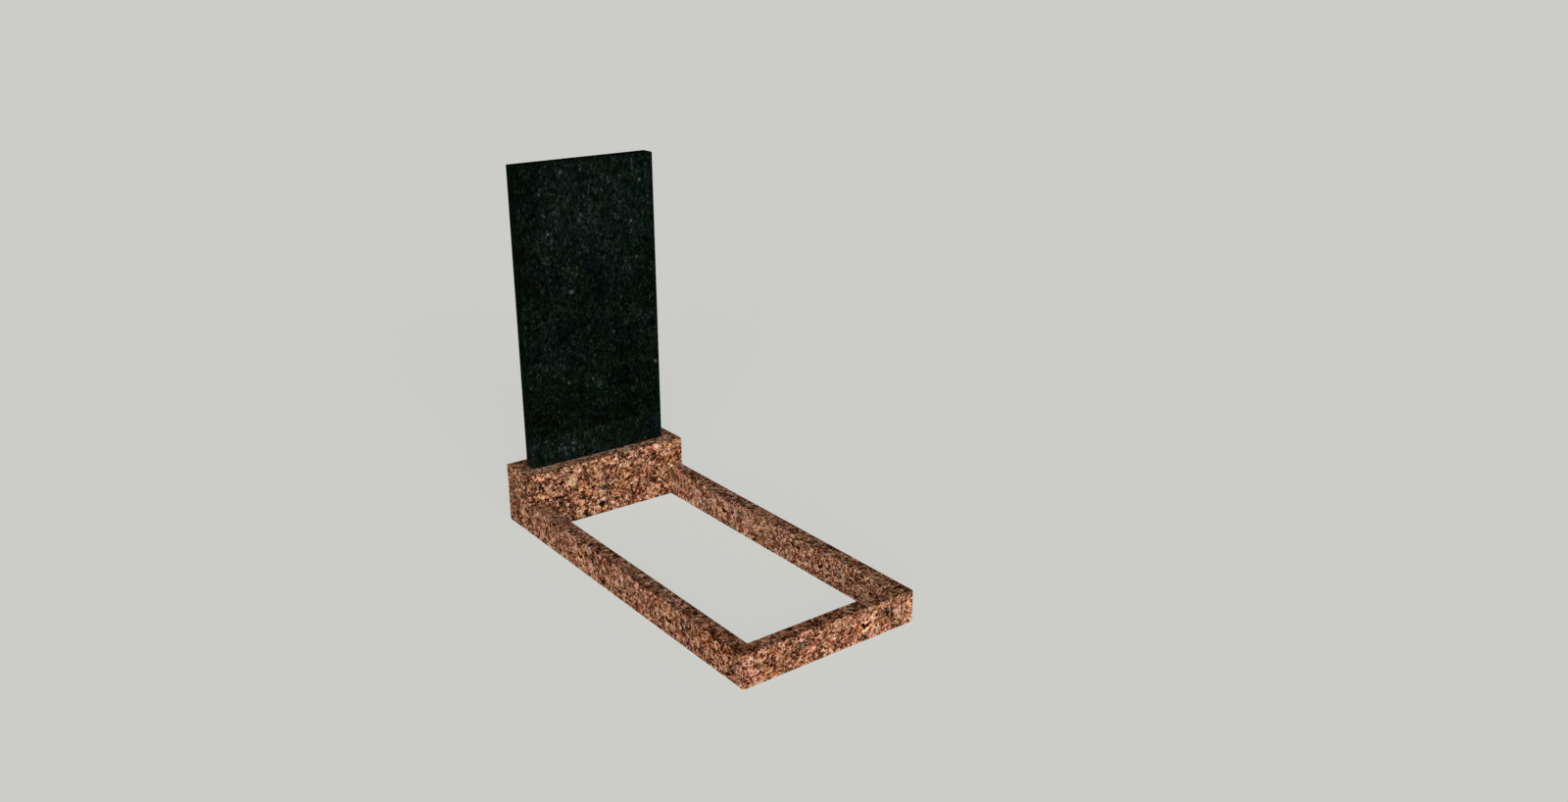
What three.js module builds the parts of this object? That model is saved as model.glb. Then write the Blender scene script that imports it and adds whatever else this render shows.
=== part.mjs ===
// Upright headstone: a polished slab on a plinth, with a flower bed framed by three kerbs.
//
// Millimetres, +Z up. The visitor stands on the -Y side and looks along +Y, with +X to the right.
// The origin lies on the ground, in the middle of the footprint.

import * as THREE from 'three';
import { LoftGeometry } from 'three/addons/geometries/LoftGeometry.js';

// Stele: the upright slab
const STELE_WIDTH = 500;
const STELE_THICKNESS = 50;
const STELE_HEIGHT = 1000;

// Plinth: the block that carries the stele
const PLINTH_WIDTH = 600;
const PLINTH_DEPTH = 150;
const PLINTH_HEIGHT = 200;

// Kerbs: the low stones round the flower bed
const KERB_THICKNESS = 50;
const KERB_HEIGHT = 100;
const SIDE_KERB_LENGTH = 1150;

// Narrow 45 degree facet along every edge that shows
const ARRIS = 2;

// Thin bed of adhesive wherever one stone is set against another
const SETTING_JOINT = 0.3;

// Finishes of the two stones
const BLACK_GRANITE = { color: 0x121a15, roughness: 0.3, metalness: 0, flatShading: true };
const RED_GRANITE = { color: 0x96674e, roughness: 0.35, metalness: 0, flatShading: true };

// Sizes that follow
const footprintDepth = PLINTH_DEPTH + SIDE_KERB_LENGTH + KERB_THICKNESS + 2 * SETTING_JOINT;
const plinthBack = footprintDepth / 2;
const plinthFront = plinthBack - PLINTH_DEPTH;
const sideKerbBack = plinthFront - SETTING_JOINT;
const sideKerbFront = sideKerbBack - SIDE_KERB_LENGTH;
const frontKerbBack = sideKerbFront - SETTING_JOINT;

// Plan outline of a block, counterclockwise from above: a rectangle with clipped corners
function clippedRectangle(width, depth, clip) {
  const x = width / 2;
  const y = depth / 2;
  return [
    [x, clip - y],
    [x, y - clip],
    [x - clip, y],
    [clip - x, y],
    [-x, y - clip],
    [-x, clip - y],
    [clip - x, -y],
    [x - clip, -y],
  ];
}

// Plan outline of a block, counterclockwise from above: a rectangle with square corners
function rectangle(width, depth) {
  const x = width / 2;
  const y = depth / 2;
  return [[x, -y], [x, y], [-x, y], [-x, -y]];
}

// Block standing on z = 0: straight sides on one outline, then a facet up to the smaller top outline
function loftBlock(outline, topOutline, height) {
  const section = (points, z) => points.map(([x, y]) => new THREE.Vector3(x, y, z));
  const sections = [
    section(outline, 0),
    section(outline, height - ARRIS),
    section(topOutline, height),
  ];
  return new LoftGeometry(sections, { capStart: true, capEnd: true });
}

// Block whose top and upright edges all show, so all of them are eased. It is sawn square below.
// The top outline is the lower one moved in by the arris, which keeps the corner facets flat.
function easedBlock(width, depth, height) {
  const outline = clippedRectangle(width, depth, ARRIS);
  const topClip = ARRIS * (Math.SQRT2 - 1);
  const topOutline = clippedRectangle(width - 2 * ARRIS, depth - 2 * ARRIS, topClip);
  return loftBlock(outline, topOutline, height);
}

// Kerb whose two ends butt other stones: the ends stay square, and only the long top edges are eased
function buttedKerb(thickness, length, height) {
  const outline = rectangle(thickness, length);
  const topOutline = rectangle(thickness - 2 * ARRIS, length);
  return loftBlock(outline, topOutline, height);
}

const headstone = new THREE.Group();

function addStone(name, geometry, finish, x, y, z) {
  const stone = new THREE.Mesh(geometry, new THREE.MeshStandardMaterial(finish));
  stone.name = name;
  stone.position.set(x, y, z);
  headstone.add(stone);
}

// Plinth, square to the bed at its head
const plinth = easedBlock(PLINTH_WIDTH, PLINTH_DEPTH, PLINTH_HEIGHT);
const plinthMiddle = (plinthFront + plinthBack) / 2;
addStone('plinth', plinth, RED_GRANITE, 0, plinthMiddle, 0);

// Stele, centred on the plinth's top
const stele = easedBlock(STELE_WIDTH, STELE_THICKNESS, STELE_HEIGHT);
addStone('stele', stele, BLACK_GRANITE, 0, plinthMiddle, PLINTH_HEIGHT + SETTING_JOINT);

// Side kerbs, their outer faces flush with the plinth's ends
const sideKerbX = (PLINTH_WIDTH - KERB_THICKNESS) / 2;
const sideKerbMiddle = (sideKerbFront + sideKerbBack) / 2;
for (const [name, x] of [['kerb_left', -sideKerbX], ['kerb_right', sideKerbX]]) {
  const kerb = buttedKerb(KERB_THICKNESS, SIDE_KERB_LENGTH, KERB_HEIGHT);
  addStone(name, kerb, RED_GRANITE, x, sideKerbMiddle, 0);
}

// Front kerb, across the foot of the bed and as wide as the plinth
const frontKerb = easedBlock(PLINTH_WIDTH, KERB_THICKNESS, KERB_HEIGHT);
addStone('kerb_front', frontKerb, RED_GRANITE, 0, frontKerbBack - KERB_THICKNESS / 2, 0);

export default headstone;
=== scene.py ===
"""Looks of the upright granite headstone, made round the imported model, in metres.

Each stone is dressed as its own mesh over its CAD node: flat polished faces, softly ground arrises
and a square sawn underside. Two granites, a black fine-grained one and a red coarse-grained one,
are worked out from object coordinates, so the grain runs through a stone and round its edges.
"""
import math

import bpy
import numpy as np
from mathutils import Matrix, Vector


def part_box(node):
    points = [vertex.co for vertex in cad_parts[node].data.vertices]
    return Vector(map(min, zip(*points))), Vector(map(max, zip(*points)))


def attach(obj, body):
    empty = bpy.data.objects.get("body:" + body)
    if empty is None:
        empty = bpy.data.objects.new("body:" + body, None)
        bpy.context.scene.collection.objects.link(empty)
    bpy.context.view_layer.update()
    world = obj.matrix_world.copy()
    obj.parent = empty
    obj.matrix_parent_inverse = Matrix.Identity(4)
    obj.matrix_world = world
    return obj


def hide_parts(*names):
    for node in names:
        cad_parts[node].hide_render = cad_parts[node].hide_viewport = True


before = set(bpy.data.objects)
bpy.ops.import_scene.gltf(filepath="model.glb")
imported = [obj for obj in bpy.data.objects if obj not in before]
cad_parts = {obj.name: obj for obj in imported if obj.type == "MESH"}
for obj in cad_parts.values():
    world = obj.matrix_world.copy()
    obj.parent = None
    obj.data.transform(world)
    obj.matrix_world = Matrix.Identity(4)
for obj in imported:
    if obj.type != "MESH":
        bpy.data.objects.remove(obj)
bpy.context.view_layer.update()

# Dressing of the stones
ARRIS = 0.002
ARRIS_POWER = 1.4
ARRIS_STEPS = 6

# Camera of the photograph: place, heading turned from +Y towards +X, tilt down, lens on a 36 mm sensor
CAMERA_PLACE = (-1.9842, -3.0397, 1.8261)
CAMERA_HEADING = math.radians(37.56)
CAMERA_TILT = math.radians(19.45)
CAMERA_LENS = 29.365
SENSOR_WIDTH = 36.0

# Studio: pale ground and backdrop of one colour, a broad low key light from the front left
PALE = (0.604, 0.610, 0.578)
FLOOR_SIZE = 400.0
FLOOR_ALBEDO = 0.16
SKY_GLOW = 0.12
MIRRORED_GLOW = 0.006
KEY_STRENGTH = 2.4
KEY_HEADING = math.radians(28.0)
KEY_HEIGHT = math.radians(18.5)
KEY_SPREAD = math.radians(50.0)


# Meshes

def arris_curve(steps):
    """Quarter of a superellipse, x**p + y**p = 1, from (1, 0) to (0, 1).

    Its power lies between a flat facet (1) and a round edge (2), as an arris rubbed by hand.
    """
    t = np.linspace(0, np.pi / 2, steps + 1)
    return np.stack([np.cos(t) ** (2 / ARRIS_POWER), np.sin(t) ** (2 / ARRIS_POWER)], axis=1)


def stone_plan(low, high, ends_show):
    """Plan of a stone as two arrays: core points, and how far each moves out in units of the arris.

    The plan at full width is core + ARRIS * reach. Where the ends show, each corner of the core
    carries an arris curve. Where they butt other stones, a corner only moves sideways.
    """
    low, high = np.array(low[:2]), np.array(high[:2])
    middle, half = (low + high) / 2, (high - low) / 2
    signs = np.array([(1, -1), (1, 1), (-1, 1), (-1, -1)], float)
    if not ends_show:
        core = middle + signs * (half - (ARRIS, 0))
        return core, signs * (1, 0)
    curve = arris_curve(ARRIS_STEPS)
    turns = np.array([[(0, 1), (-1, 0)], [(1, 0), (0, 1)], [(0, -1), (1, 0)], [(-1, 0), (0, -1)]], float)
    core = np.repeat(middle + signs * (half - ARRIS), len(curve), axis=0)
    reach = np.concatenate([curve @ turn.T for turn in turns])
    return core, reach


def dressed_stone(name, low, high, ends_show=True):
    """Mesh of a stone: its plan carried straight up, then drawn in over the arris to the flat top.

    At arris angle t, the plan's reach shrinks to x(t) and the height grows by y(t), both from the
    same superellipse as in plan, so three arrises meet in a soft corner.
    """
    core, reach = stone_plan(low, high, ends_show)
    curve = arris_curve(ARRIS_STEPS)
    shrink = np.concatenate([[1.0], curve[:, 0]])
    level = np.concatenate([[low[2]], high[2] - ARRIS + ARRIS * curve[:, 1]])
    rings, around = len(level), len(core)
    points = np.empty((rings, around, 3))
    points[:, :, :2] = core + ARRIS * shrink[:, None, None] * reach
    points[:, :, 2] = level[:, None]
    row, column = np.meshgrid(np.arange(rings - 1), np.arange(around), indexing="ij")
    start = row * around + column
    beside = row * around + (column + 1) % around
    walls = np.stack([start, beside, beside + around, start + around], axis=-1).reshape(-1, 4)
    bottom = np.arange(around)[::-1]
    top = (rings - 1) * around + np.arange(around)
    mesh = bpy.data.meshes.new(name)
    mesh.from_pydata(points.reshape(-1, 3), [], [*walls.tolist(), bottom.tolist(), top.tolist()])
    mesh.validate()
    stone = bpy.data.objects.new(name, mesh)
    bpy.context.scene.collection.objects.link(stone)
    return stone


# Shader helpers

def fill(tree, socket, value):
    """Links a socket to a socket, or sets it to a value."""
    if isinstance(value, bpy.types.NodeSocket):
        tree.links.new(value, socket)
    else:
        socket.default_value = value


def node(tree, kind, inputs=None, **settings):
    """Adds a shader node; inputs are values or sockets, by socket name or number."""
    made = tree.nodes.new("ShaderNode" + kind)
    for key, value in settings.items():
        setattr(made, key, value)
    for key, value in (inputs or {}).items():
        fill(tree, made.inputs[key], value)
    return made


def maths(tree, operation, a, b=0.0):
    """Output of a Math node."""
    return node(tree, "Math", {0: a, 1: b}, operation=operation).outputs[0]


def vectors(tree, operation, a, b):
    """Vector output of a Vector Math node; for SCALE, b is the factor."""
    second = "Scale" if operation == "SCALE" else 1
    return node(tree, "VectorMath", {0: a, second: b}, operation=operation).outputs[0]


def weighted_sum(tree, start, parts):
    """start plus the sum of weight * value over (weight, value) pairs."""
    total = start
    for weight, value in parts:
        total = node(tree, "Math", {0: value, 1: weight, 2: total}, operation="MULTIPLY_ADD").outputs[0]
    return total


def spread(tree, value, low, high, to_low=0.0, to_high=1.0):
    """Value moved smoothly from one range to another, and held there."""
    limits = {"Value": value, "From Min": low, "From Max": high, "To Min": to_low, "To Max": to_high}
    return node(tree, "MapRange", limits, interpolation_type="SMOOTHSTEP").outputs["Result"]


def blend(tree, factor, a, b, blend_type="MIX"):
    """Output colour of a Mix node."""
    made = node(tree, "Mix", data_type="RGBA", blend_type=blend_type)
    for socket, value in zip([s for s in made.inputs if s.enabled], (factor, a, b)):
        fill(tree, socket, value if isinstance(value, (float, bpy.types.NodeSocket)) else (*value, 1.0))
    return next(s for s in made.outputs if s.enabled)


def ramp(tree, factor, stops):
    """Colour ramp from (place, (r, g, b)) stops."""
    made = node(tree, "ValToRGB", {"Fac": factor})
    elements = made.color_ramp.elements
    while len(elements) < len(stops):
        elements.new(0.5)
    for element, (place, colour) in zip(elements, stops):
        element.position = place
        element.color = (*colour, 1.0)
    return made.outputs["Color"]


def start_group(name, inputs, outputs):
    """New node group with its named inputs, each with a default, and its named outputs."""
    tree = bpy.data.node_groups.new(name, "ShaderNodeTree")
    kinds = {float: "NodeSocketFloat", tuple: "NodeSocketVector"}
    for label, default in inputs.items():
        socket = tree.interface.new_socket(label, in_out="INPUT", socket_type=kinds[type(default)])
        socket.default_value = default
    for label in outputs:
        tree.interface.new_socket(label, in_out="OUTPUT", socket_type="NodeSocketFloat")
    enter = tree.nodes.new("NodeGroupInput").outputs
    leave = tree.nodes.new("NodeGroupOutput").inputs
    return tree, enter, leave


def place_group(tree, group, **named):
    """Places a group node, fills its inputs by name, and returns its outputs."""
    made = tree.nodes.new("ShaderNodeGroup")
    made.node_tree = group
    for label, value in named.items():
        fill(tree, made.inputs[label], value)
    return made.outputs


# Effects that both granites share

def grains_group():
    """Crystals: cells of a given size with ragged borders.

    Pick, Tint and Shade are three random numbers for each crystal, and Depth is how far inside it
    a point lies, from 0 at the border to about 0.5, in units of the size.
    """
    inputs = {"Vector": (0.0, 0.0, 0.0), "Size": 0.008, "Ragged": 0.4}
    tree, enter, leave = start_group("grains", inputs, ["Pick", "Tint", "Shade", "Depth"])
    place = vectors(tree, "SCALE", enter["Vector"], maths(tree, "DIVIDE", 1.0, enter["Size"]))
    noise = node(tree, "TexNoise", {"Vector": place, "Scale": 1.6, "Detail": 2.0}).outputs["Color"]
    shake = vectors(tree, "SUBTRACT", noise, (0.5, 0.5, 0.5))
    place = vectors(tree, "ADD", place, vectors(tree, "SCALE", shake, enter["Ragged"]))
    cells = node(tree, "TexVoronoi", {"Vector": place, "Scale": 1.0})
    random = node(tree, "SeparateColor", {"Color": cells.outputs["Color"]}).outputs
    border = node(tree, "TexVoronoi", {"Vector": place, "Scale": 1.0}, feature="DISTANCE_TO_EDGE")
    tree.links.new(random[0], leave["Pick"])
    tree.links.new(random[1], leave["Tint"])
    tree.links.new(random[2], leave["Shade"])
    tree.links.new(border.outputs["Distance"], leave["Depth"])
    return tree


def clouds_group():
    """Soft clouds of a given size, centred on zero and about one either way."""
    inputs = {"Vector": (0.0, 0.0, 0.0), "Size": 0.06, "Detail": 2.0}
    tree, enter, leave = start_group("clouds", inputs, ["Value"])
    scale = maths(tree, "DIVIDE", 1.0, enter["Size"])
    noise = node(tree, "TexNoise", {"Vector": enter["Vector"], "Scale": scale, "Detail": enter["Detail"]})
    centred = maths(tree, "SUBTRACT", noise.outputs["Fac"], 0.5)
    tree.links.new(maths(tree, "MULTIPLY", centred, 4.0), leave["Value"])
    return tree


def spot_group():
    """One spot: 1 near its centre, falling smoothly to 0 between its core and its radius."""
    inputs = {"Vector": (0.0, 0.0, 0.0), "Centre": (0.0, 0.0, 0.0), "Radius": 0.01, "Core": 0.5}
    tree, enter, leave = start_group("spot", inputs, ["Mask"])
    away = node(tree, "VectorMath", {0: enter["Vector"], 1: enter["Centre"]}, operation="DISTANCE")
    core = maths(tree, "MULTIPLY", enter["Radius"], enter["Core"])
    mask = spread(tree, away.outputs["Value"], core, enter["Radius"], 1.0, 0.0)
    tree.links.new(mask, leave["Mask"])
    return tree


def dressing_group():
    """Where a stone is only ground, along its arrises, and where it is left sawn, underneath.

    A face is an arris where its normal leans well off all three axes, and the underside where it
    points down.
    """
    tree, enter, leave = start_group("dressing", {"Normal": (0.0, 0.0, 1.0)}, ["Ground", "Sawn"])
    lean = node(tree, "VectorMath", {0: enter["Normal"]}, operation="ABSOLUTE").outputs[0]
    x, y, z = node(tree, "SeparateXYZ", {0: lean}).outputs
    largest = maths(tree, "MAXIMUM", maths(tree, "MAXIMUM", x, y), z)
    tree.links.new(spread(tree, largest, 0.90, 0.995, 1.0, 0.0), leave["Ground"])
    up = node(tree, "SeparateXYZ", {0: enter["Normal"]}).outputs[2]
    tree.links.new(spread(tree, up, -0.9, -0.5, 1.0, 0.0), leave["Sawn"])
    return tree


GRAINS = grains_group()
CLOUDS = clouds_group()
SPOT = spot_group()
DRESSING = dressing_group()


def start_material(name, specular, offset):
    """New material with its shader, the object coordinates, and those moved to this stone's own rock."""
    material = bpy.data.materials.new(name)
    material.use_nodes = True
    tree = material.node_tree
    shader = tree.nodes["Principled BSDF"]
    shader.inputs["Specular IOR Level"].default_value = specular
    place = node(tree, "TexCoord").outputs["Object"]
    rock = node(tree, "Mapping", {"Vector": place, "Location": offset}).outputs["Vector"]
    return material, tree, shader, place, rock


def brighten(tree, colour, tone):
    """Colour times e**tone, so that equal steps of tone look like equal steps of brightness."""
    return vectors(tree, "SCALE", colour, maths(tree, "EXPONENT", tone))


def shaken(tree, place, size):
    """Place moved to and fro by noise of a given size."""
    noise = node(tree, "TexNoise", {"Vector": place, "Scale": 1.0 / size, "Detail": 3.0}).outputs["Color"]
    shake = vectors(tree, "SCALE", vectors(tree, "SUBTRACT", noise, (0.5, 0.5, 0.5)), 2.0 * size)
    return vectors(tree, "ADD", place, shake)


# Radius up to which a mark is a crystal, and not a cloud
LARGEST_CRYSTAL = 0.025


def marks_on(tree, place, cast, marks):
    """Lift, tint, blush and strength of a stone: its own cast, and what each of its marks adds.

    A mark is (centre, radius, lift, tint, blush, strength), and may leave out the last ones. A
    crystal is a spot with a crisp ragged rim, and a bank is a broad soft cloud.
    """
    crystal_place, bank_place = shaken(tree, place, 0.006), shaken(tree, place, 0.030)
    totals = list(cast)
    for centre, radius, *shares in marks:
        ragged, core = (bank_place, 0.1) if radius > LARGEST_CRYSTAL else (crystal_place, 0.5)
        mask = place_group(tree, SPOT, Vector=ragged, Centre=centre, Radius=radius, Core=core)["Mask"]
        for channel, share in enumerate(shares):
            if share:
                totals[channel] = weighted_sum(tree, totals[channel], [(share, mask)])
    return totals


# Ground arrises are rougher than the polish. The underside is rough, dusty and marked by the saw
ARRIS_DULLNESS = 0.22
SAWN_ROUGHNESS = 0.85
SAWN_DUST = (0.16, 0.155, 0.145)
DUST_COVER = 0.7
SAW_MARK_SCALE = 60.0


def dress(tree, shader, colour, roughness, relief, relief_depth):
    """Feeds the shader: polished faces as given, duller arrises, a rough and dusty underside."""
    normal = node(tree, "NewGeometry").outputs["Normal"]
    dressing = place_group(tree, DRESSING, Normal=normal)
    place = node(tree, "TexCoord").outputs["Object"]
    cover = maths(tree, "MULTIPLY", dressing["Sawn"], DUST_COVER)
    colour = blend(tree, cover, colour, blend(tree, 1.0, colour, SAWN_DUST, "ADD"))
    sawn_roughness = maths(tree, "MULTIPLY", dressing["Sawn"], SAWN_ROUGHNESS)
    roughness = weighted_sum(tree, roughness, [(ARRIS_DULLNESS, dressing["Ground"])])
    roughness = maths(tree, "MAXIMUM", roughness, sawn_roughness)
    wave = {"Vector": place, "Scale": SAW_MARK_SCALE, "Distortion": 3.0, "Detail": 3.0}
    saw_marks = node(tree, "TexWave", wave)
    cut = maths(tree, "MULTIPLY", saw_marks.outputs["Fac"], dressing["Sawn"])
    height = maths(tree, "ADD", relief, cut)
    bump = node(tree, "Bump", {"Height": height, "Strength": 1.0, "Distance": relief_depth})
    tree.links.new(colour, shader.inputs["Base Color"])
    tree.links.new(roughness, shader.inputs["Roughness"])
    tree.links.new(bump.outputs["Normal"], shader.inputs["Normal"])


# Red granite: black mica, brown quartz, red-brown to salmon feldspar, and the odd cream crystal
RED_MINERALS = [
    (0.03, (0.016, 0.003, 0.001)),
    (0.19, (0.040, 0.010, 0.003)),
    (0.27, (0.088, 0.024, 0.008)),
    (0.36, (0.156, 0.053, 0.022)),
    (0.44, (0.250, 0.092, 0.042)),
    (0.52, (0.362, 0.142, 0.072)),
    (0.59, (0.485, 0.206, 0.115)),
    (0.66, (0.632, 0.287, 0.170)),
    (0.74, (0.790, 0.389, 0.245)),
    (0.82, (0.920, 0.507, 0.335)),
    (0.97, (1.000, 0.690, 0.480)),
]
MIDDLE_TONE = 0.53
GREYED, ORANGE = (0.84, 1.12, 1.50), (1.13, 0.85, 0.55)
OLIVE, PINK = (0.91, 1.12, 0.91), (1.06, 0.89, 1.06)

# Strength of its polish, and how deep its relief is in metres
RED_SPECULAR = 0.12
RED_RELIEF = 0.00003


def red_granite(name, offset, cast, marks):
    """Crystals of four sizes share one brightness scale, and their tints wander between four hues.

    Strength is how far their brightness spreads from the middle of the scale, tint leans them from
    grey to orange, and blush from olive to pink. One crumb in thirteen is black mica, and the tints
    wander less in the paler crystals.
    """
    material, tree, shader, place, rock = start_material(name, RED_SPECULAR, offset)
    body = place_group(tree, GRAINS, Vector=rock, Size=0.017, Ragged=1.0)
    crystal = place_group(tree, GRAINS, Vector=rock, Size=0.0092, Ragged=0.8)
    crumb = place_group(tree, GRAINS, Vector=rock, Size=0.0050, Ragged=0.6)
    flake = place_group(tree, GRAINS, Vector=rock, Size=0.0029, Ragged=0.5)
    cloud = place_group(tree, CLOUDS, Vector=rock, Size=0.045, Detail=2.0)["Value"]
    lift, tint, blush, strength = marks_on(tree, place, cast, marks)
    deep = spread(tree, body["Depth"], 0.05, 0.30)
    mica = spread(tree, crumb["Pick"], 0.06, 0.09, 1.0, 0.0)
    spots = weighted_sum(tree, -0.675, [
        (0.25, body["Pick"]), (0.33, crystal["Pick"]), (0.38, crumb["Pick"]), (0.27, flake["Pick"]),
        (0.08, cloud), (0.09, deep), (-0.26, mica),
    ])
    tone = weighted_sum(tree, MIDDLE_TONE, [(strength, spots), (1.0, lift)])
    colour = ramp(tree, tone, RED_MINERALS)
    wander = spread(tree, tone, 0.35, 0.80, 1.4, 0.55)
    lean = weighted_sum(tree, tint, [
        (0.35, body["Tint"]), (0.4, crystal["Tint"]), (0.35, crumb["Tint"]),
    ])
    warmth = weighted_sum(tree, 0.5, [(wander, maths(tree, "SUBTRACT", lean, 0.5))])
    colour = blend(tree, 1.0, colour, blend(tree, warmth, GREYED, ORANGE), "MULTIPLY")
    pinkness = weighted_sum(tree, -0.28, [
        (1.0, blush), (0.55, body["Shade"]), (0.6, crystal["Shade"]), (0.4, crumb["Shade"]),
    ])
    colour = blend(tree, 1.0, colour, blend(tree, pinkness, OLIVE, PINK), "MULTIPLY")
    roughness = spread(tree, tone, 0.15, 0.45, 0.42, 0.24)
    dress(tree, shader, colour, roughness, tone, RED_RELIEF)
    return material


# Black granite: a near-black ground with short grey-green laths, under clouds of green and blue grey
GREEN_GROUND = (0.0012, 0.0041, 0.0013)
BLUE_GROUND = (0.0019, 0.0040, 0.0039)
TEAL, GREY = (0.50, 1.03, 0.95), (1.50, 0.98, 1.05)
WHITE_QUARTZ = (0.085, 0.090, 0.085)

# Strength of its polish, and how deep its relief is in metres
BLACK_SPECULAR = 0.06
BLACK_RELIEF = 0.00001

# Height up to which a paler layer of rock crosses the stele's foot, and half the width of its border
FOOT_LAYER = 0.298
FOOT_BORDER = 0.004


def black_granite(name, offset, cast, marks):
    """Laths and crumbs lighten or darken the ground, and clouds of several sizes carry its tints.

    Strength is how far the brightness spreads about that of the ground, tint leans it from green to
    blue, and blush from teal to grey. One crumb in ten is a pale glint. The ends of the slab carry
    painted light: they are lighter, quieter and greyer than its faces. The layer at its foot is quieter
    and greyer too, and also paler and bluer.
    """
    material, tree, shader, place, rock = start_material(name, BLACK_SPECULAR, offset)
    upright = node(tree, "Mapping", {"Vector": rock, "Scale": (1.12, 1.12, 0.60)}).outputs["Vector"]
    lath = place_group(tree, GRAINS, Vector=upright, Size=0.0085, Ragged=1.3)
    crumb = place_group(tree, GRAINS, Vector=upright, Size=0.0044, Ragged=1.0)
    grit = place_group(tree, CLOUDS, Vector=upright, Size=0.0060, Detail=3.0)["Value"]
    patch = place_group(tree, CLOUDS, Vector=rock, Size=0.022, Detail=2.0)["Value"]
    cloud = place_group(tree, CLOUDS, Vector=rock, Size=0.080, Detail=2.0)["Value"]
    height = node(tree, "SeparateXYZ", {0: shaken(tree, place, 0.007)}).outputs[2]
    foot = spread(tree, height, FOOT_LAYER - FOOT_BORDER, FOOT_LAYER + FOOT_BORDER, 1.0, 0.0)
    # Painted light: faces turned to the sides, the slab's ends, are made lighter, greyer and quieter
    normal = node(tree, "NewGeometry").outputs["Normal"]
    sideways = node(tree, "SeparateXYZ", {0: normal}).outputs[0]
    painted_light_ends = spread(tree, maths(tree, "ABSOLUTE", sideways), 0.5, 0.9)
    lift, tint, blush, strength = marks_on(tree, place, cast, marks)
    glint = spread(tree, crumb["Pick"], 0.86, 0.96)
    spots = weighted_sum(tree, -1.525, [
        (1.35, lath["Pick"]), (1.60, crumb["Pick"]), (0.60, grit), (0.62, patch), (0.26, cloud),
        (0.60, glint),
    ])
    # Ends: painted light, lighter and quieter; foot: a paler layer of rock
    contrast = weighted_sum(tree, strength, [(-0.15, painted_light_ends), (-0.05, foot)])
    tone = weighted_sum(tree, 0.215, [(contrast, spots), (1.0, lift), (0.34, foot), (0.15, painted_light_ends)])
    hue_cloud = place_group(tree, CLOUDS, Vector=place, Size=0.075, Detail=3.0)["Value"]
    blueness = weighted_sum(tree, tint, [
        (0.45, hue_cloud), (0.45, lath["Tint"]), (0.10, patch), (0.08, tone), (0.15, foot), (-0.10, painted_light_ends),
    ])
    colour = blend(tree, maths(tree, "ADD", blueness, 0.18), GREEN_GROUND, BLUE_GROUND)
    greyness = weighted_sum(tree, 0.13, [
        (1.0, blush), (0.50, crumb["Tint"]), (0.45, lath["Shade"]), (0.12, patch), (-0.10, hue_cloud),
        (0.20, tone), (0.08, foot), (0.20, painted_light_ends),
    ])
    colour = blend(tree, 1.0, colour, blend(tree, greyness, TEAL, GREY), "MULTIPLY")
    colour = brighten(tree, colour, tone)
    colour = blend(tree, spread(tree, tone, 1.8, 3.2, 0.0, 0.8), colour, WHITE_QUARTZ)
    roughness = weighted_sum(tree, 0.18, [(0.08, crumb["Pick"])])
    dress(tree, shader, colour, roughness, crumb["Pick"], BLACK_RELIEF)
    return material


# Marks: what stands out on the stones, and rows of painted light and painted shade over two tops.
# A kind is its radius, and what it adds to lift, tint, blush and strength, in its granite's own scale
CREAM = (0.015, 0.18, 0.30)
ORANGE_CRYSTAL = (0.013, 0.16, 0.7)
PALE_CRYSTAL = (0.007, 0.42, -0.2)
GREY_QUARTZ = (0.020, -0.09, -0.7)
DARK_QUARTZ = (0.012, -0.34, -0.1)
MICA = (0.0080, -0.90)
MICA_NEST = (0.0100, -0.90)
WARM_HALO = (0.040, 0.14, 0.50)
PALE_BANK = (0.055, 0.09)
# Painted light over the plinth's top in front of the stele, against the shade the stele throws there,
# with a little tint
PAINTED_LIGHT_TOP = (0.060, 0.19, -0.10, 0.14, 0.15)
# Painted shade along the right kerb's top, taking back there the painted light its cast lays over the
# whole kerb
PAINTED_SHADE_TOP = (0.060, -0.09)
OLIVE_TOP = (0.060, 0.03, -0.12, -0.16)
OLIVE_BANK = (0.050, -0.11, -0.15)
BROWN_BANK = (0.050, -0.06, 0.40)
UPPER_BANK = (0.36, 0.40, 0.24, 0.0, -0.08)
SHADED_BANK = (0.13, -0.33, -0.10)
GREEN_BANK = (0.24, -0.19, -0.23, 0.05)
FOOT_CLOUD = (0.13, 0.26, 0.05)
PALE_CLOUD = (0.050, 0.36, 0.10)
DARK_CLOUD = (0.055, -0.26, 0.10, 0.0, -0.12)
DARK_BLUE_CLOUD = (0.065, -0.32, 0.50, -0.05, -0.12)
SOFT_CLOUD = (0.080, 0.26)
DIM_CLOUD = (0.080, -0.28)
BLUE_TINGE = (0.100, 0.0, 0.28)
GREEN_TINGE = (0.100, 0.0, -0.24)
TEAL_TINGE = (0.170, 0.0, 0.0, -0.24)
GREY_TINGE = (0.150, 0.0, 0.0, 0.20)
WHITE_FLECK = (0.010, 2.2, 0.2)
GREY_FLECK = (0.0060, 1.6, 0.1)


def marks(kinds):
    """List of marks, from the centres of each kind."""
    return [(centre, *kind) for kind, centres in kinds.items() for centre in centres]


def marks_in_front(cad_node, kinds):
    """Marks on a stone's front face, whose centres are given as (x, z)."""
    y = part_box(cad_node)[0][1]
    return marks({kind: [(x, y, z) for x, z in centres] for kind, centres in kinds.items()})


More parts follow.
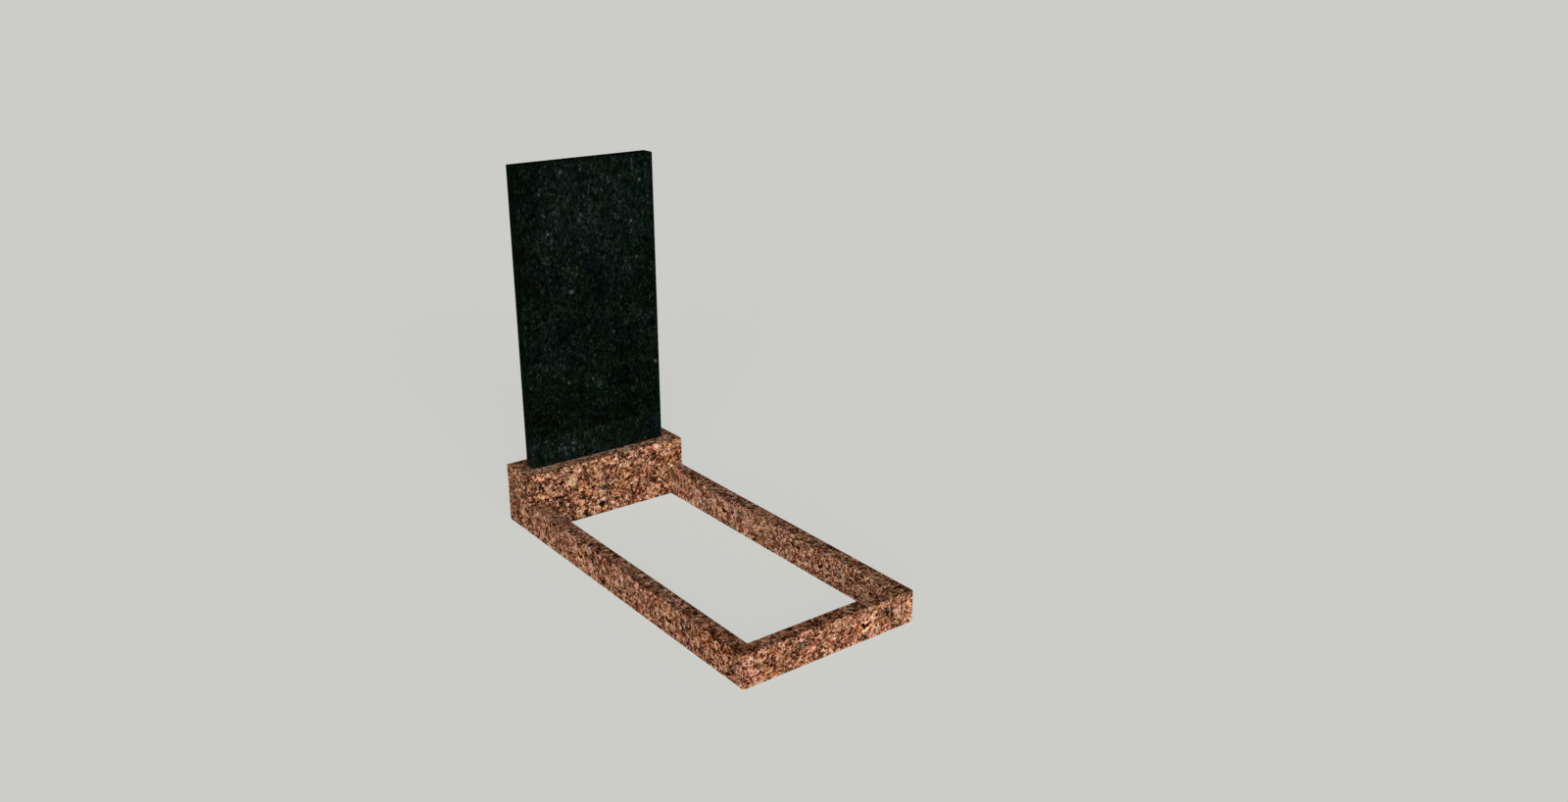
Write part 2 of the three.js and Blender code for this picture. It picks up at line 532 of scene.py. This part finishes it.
def mica_knots(along, centres):
    """Knots on an upright face: three arms of black mica with pale crystals between, in a warm halo.

    Along is the face's level direction, and it points from each knot to a patch of grey quartz.
    """
    level, up = np.array(along, float), np.array((0.0, 0.0, 1.0))

    def beside(*steps):
        return [tuple(np.array(centre) + a * level + b * up) for centre in centres for a, b in steps]

    return marks({
        WARM_HALO: beside((-0.004, 0.002)),
        GREY_QUARTZ: beside((0.083, 0.018)),
        PALE_CRYSTAL: beside((0.010, -0.007), (-0.005, -0.012), (0.004, 0.011)),
        MICA: beside((-0.006, 0.007), (0.000, -0.001), (0.010, 0.004)),
    })


# Places along a stone, for rows of spots over a whole top: painted light, a tint or painted shade
PLINTH_ROW = np.linspace(-0.27, 0.27, 10).tolist()
SIDE_KERB_ROW = np.linspace(-0.60, 0.50, 16).tolist()

STELE_MARKS = marks_in_front("stele", {
    UPPER_BANK: [(0.03, 1.05)],
    SHADED_BANK: [(-0.27, 1.13), (-0.27, 0.97), (-0.27, 0.81)],
    GREEN_BANK: [(-0.12, 0.37), (0.16, 0.36)],
    FOOT_CLOUD: [(-0.21, 0.24), (-0.09, 0.24)],
    PALE_CLOUD: [
        (0.197, 1.119), (-0.087, 1.165), (0.012, 0.988), (-0.150, 0.975), (-0.075, 0.850), (0.150, 0.850),
        (-0.125, 0.700), (0.190, 0.665), (-0.150, 0.540), (0.005, 0.465), (-0.010, 0.440),
    ],
    DARK_CLOUD: [(-0.125, 0.640), (0.045, 0.630), (-0.205, 1.090)],
    DARK_BLUE_CLOUD: [(0.012, 0.850), (0.018, 0.775), (0.110, 0.450), (0.020, 0.335), (0.215, 0.235)],
    SOFT_CLOUD: [(0.120, 1.060), (0.000, 0.455), (-0.110, 0.460), (-0.110, 0.250), (-0.110, 0.745)],
    DIM_CLOUD: [
        (0.000, 1.140), (0.000, 0.945), (0.000, 0.735), (0.210, 0.740), (0.210, 0.440), (0.100, 0.440),
        (-0.100, 0.655), (0.100, 0.350), (-0.200, 0.350),
    ],
    BLUE_TINGE: [(-0.196, 0.850), (-0.090, 0.650), (0.200, 0.450), (0.090, 0.960)],
    GREEN_TINGE: [(0.100, 1.150), (0.090, 0.810), (0.100, 0.520), (-0.040, 0.850), (0.100, 0.310)],
    TEAL_TINGE: [(0.240, 1.120), (0.240, 0.930), (0.030, 0.340)],
    GREY_TINGE: [(-0.130, 1.120), (0.000, 1.170), (-0.220, 0.900), (-0.150, 0.750), (-0.160, 0.560)],
    WHITE_FLECK: [(-0.073, 0.777), (0.235, 0.482)],
    GREY_FLECK: [
        (0.196, 1.117), (-0.088, 1.167), (-0.145, 0.976), (0.160, 0.982), (-0.172, 0.712),
        (-0.137, 0.708), (-0.102, 0.472), (0.040, 0.432), (0.171, 0.352), (-0.162, 0.319),
        (-0.098, 0.260), (0.077, 0.617), (0.175, 0.862), (-0.020, 1.170),
    ],
})
PLINTH_MARKS = marks_in_front("plinth", {
    CREAM: [
        (-0.096, 0.127), (0.069, 0.115), (0.192, 0.192), (0.196, 0.042), (-0.108, 0.035), (-0.250, 0.120),
    ],
    ORANGE_CRYSTAL: [(0.254, 0.185), (-0.254, 0.185), (-0.019, 0.010)],
    PALE_BANK: [(-0.135, 0.170), (0.120, 0.175), (0.060, 0.130), (0.160, 0.020), (-0.110, 0.030)],
    OLIVE_BANK: [(0.160, 0.080), (-0.170, 0.090), (-0.010, 0.130)],
    PALE_CRYSTAL: [(-0.018, 0.020), (-0.044, 0.030), (-0.030, 0.052)],
    GREY_QUARTZ: [(-0.012, 0.088), (-0.262, 0.162)],
    DARK_QUARTZ: [
        (-0.177, 0.150), (-0.205, 0.100), (0.123, 0.181), (0.186, 0.163), (0.077, 0.100), (-0.092, 0.020),
    ],
    MICA_NEST: [(-0.035, 0.034), (-0.025, 0.038)],
# with painted light along the plinth's top, in front of the stele
}) + marks({PAINTED_LIGHT_TOP: [(x, 0.555, 0.213) for x in PLINTH_ROW]})
KERB_FRONT_MARKS = marks_in_front("kerb_front", {
    CREAM: [(-0.073, 0.042), (0.285, 0.062)],
    ORANGE_CRYSTAL: [(-0.227, 0.022)],
    GREY_QUARTZ: [(-0.106, 0.064)],
}) + mica_knots((1, 0, 0), [(0.118, -0.675, 0.044)])
KERB_LEFT_MARKS = marks({
    BROWN_BANK: [(-0.300, -0.490, 0.075), (-0.300, -0.550, 0.075), (-0.300, -0.605, 0.065)],
    ORANGE_CRYSTAL: [(-0.300, -0.282, 0.090), (-0.300, 0.022, 0.040), (-0.300, -0.618, 0.088)],
    OLIVE_TOP: [(-0.255, y, 0.112) for y in SIDE_KERB_ROW],
}) + mica_knots((0, -1, 0), [(-0.300, 0.190, 0.046), (-0.300, -0.316, 0.046)])
KERB_RIGHT_MARKS = marks({
    # painted shade along the top
    PAINTED_SHADE_TOP: [(0.290, y, 0.112) for y in SIDE_KERB_ROW],
}) + mica_knots((0, -1, 0), [(0.250, 0.197, 0.047), (0.250, -0.312, 0.045)])

# Stones: whether their ends show, their rock, where in the rock they were cut, their cast as lift,
# tint, blush and strength, and what stands out on them
STONES = {
    "stele": (True, black_granite, (3.1, 0.4, 1.7), (0.10, 0.0, 0.0, 0.92), STELE_MARKS),
    "plinth": (True, red_granite, (5.1, 3.3, 0.7), (-0.040, 0.03, -0.10, 1.28), PLINTH_MARKS),
    "kerb_left": (False, red_granite, (1.3, 5.2, 0.9), (-0.020, 0.0, 0.0, 1.13), KERB_LEFT_MARKS),
    # The right kerb's lift of 0.05 is painted light, against the shade on its inner face
    "kerb_right": (False, red_granite, (2.9, 2.1, 4.4), (0.05, 0.0, 0.0, 1.28), KERB_RIGHT_MARKS),
    "kerb_front": (True, red_granite, (4.2, 1.6, 2.3), (-0.015, 0.0, 0.0, 1.08), KERB_FRONT_MARKS),
}

for cad_node, (ends_show, rock, offset, cast, stone_marks) in STONES.items():
    low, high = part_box(cad_node)
    stone = dressed_stone("dressed_" + cad_node, low, high, ends_show)
    material = rock(rock.__name__ + "_" + cad_node, offset, cast, stone_marks)
    stone.data.materials.append(material)
    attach(stone, "root")
    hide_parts(cad_node)


# Stage

def make_floor():
    """Pale ground: partly lit, partly glowing, so that it stays even under the low light.

    The key and the sky light open ground to its albedo times lit, and the glow makes up the rest.
    """
    half = FLOOR_SIZE / 2
    lit = KEY_STRENGTH * math.sin(KEY_HEIGHT) / math.pi + SKY_GLOW
    corners = [(-half, -half, 0), (half, -half, 0), (half, half, 0), (-half, half, 0)]
    mesh = bpy.data.meshes.new("ground")
    mesh.from_pydata(corners, [], [(0, 1, 2, 3)])
    ground = bpy.data.objects.new("ground", mesh)
    bpy.context.scene.collection.objects.link(ground)
    material = bpy.data.materials.new("ground")
    material.use_nodes = True
    shader = material.node_tree.nodes["Principled BSDF"]
    shader.inputs["Base Color"].default_value = (*[FLOOR_ALBEDO * c / PALE[1] for c in PALE], 1.0)
    shader.inputs["Roughness"].default_value = 1.0
    shader.inputs["Specular IOR Level"].default_value = 0.0
    shader.inputs["Emission Color"].default_value = (*PALE, 1.0)
    shader.inputs["Emission Strength"].default_value = 1.0 - FLOOR_ALBEDO * lit / PALE[1]
    mesh.materials.append(material)
    ground.visible_glossy = False


def make_light():
    """Broad low key light from the front left, and a sky that looks as pale as the ground.

    The polish reflects a dark studio: the ground isn't mirrored, and the sky is nearly black there.
    """
    data = bpy.data.lights.new("key", "SUN")
    data.energy = KEY_STRENGTH
    data.angle = KEY_SPREAD
    key = bpy.data.objects.new("key", data)
    key.rotation_euler = (math.pi / 2 - KEY_HEIGHT, 0.0, -KEY_HEADING)
    bpy.context.scene.collection.objects.link(key)
    world = bpy.data.worlds.new("studio")
    bpy.context.scene.world = world
    world.use_nodes = True
    tree = world.node_tree
    path = node(tree, "LightPath").outputs
    background = tree.nodes["Background"]
    background.inputs["Color"].default_value = (*PALE, 1.0)
    unseen = spread(tree, path["Is Glossy Ray"], 0.0, 1.0, SKY_GLOW / PALE[1], MIRRORED_GLOW / PALE[1])
    strength = spread(tree, path["Is Camera Ray"], 0.0, 1.0, unseen, 1.0)
    tree.links.new(strength, background.inputs["Strength"])


def make_camera():
    """Camera at the place and angle of the photograph."""
    data = bpy.data.cameras.new("camera")
    data.lens = CAMERA_LENS
    data.sensor_width = SENSOR_WIDTH
    data.clip_end = FLOOR_SIZE
    camera = bpy.data.objects.new("camera", data)
    camera.location = CAMERA_PLACE
    camera.rotation_euler = (math.pi / 2 - CAMERA_TILT, 0.0, -CAMERA_HEADING)
    bpy.context.scene.collection.objects.link(camera)
    bpy.context.scene.camera = camera


make_floor()
make_light()
make_camera()
bpy.context.scene.view_settings.view_transform = "Standard"
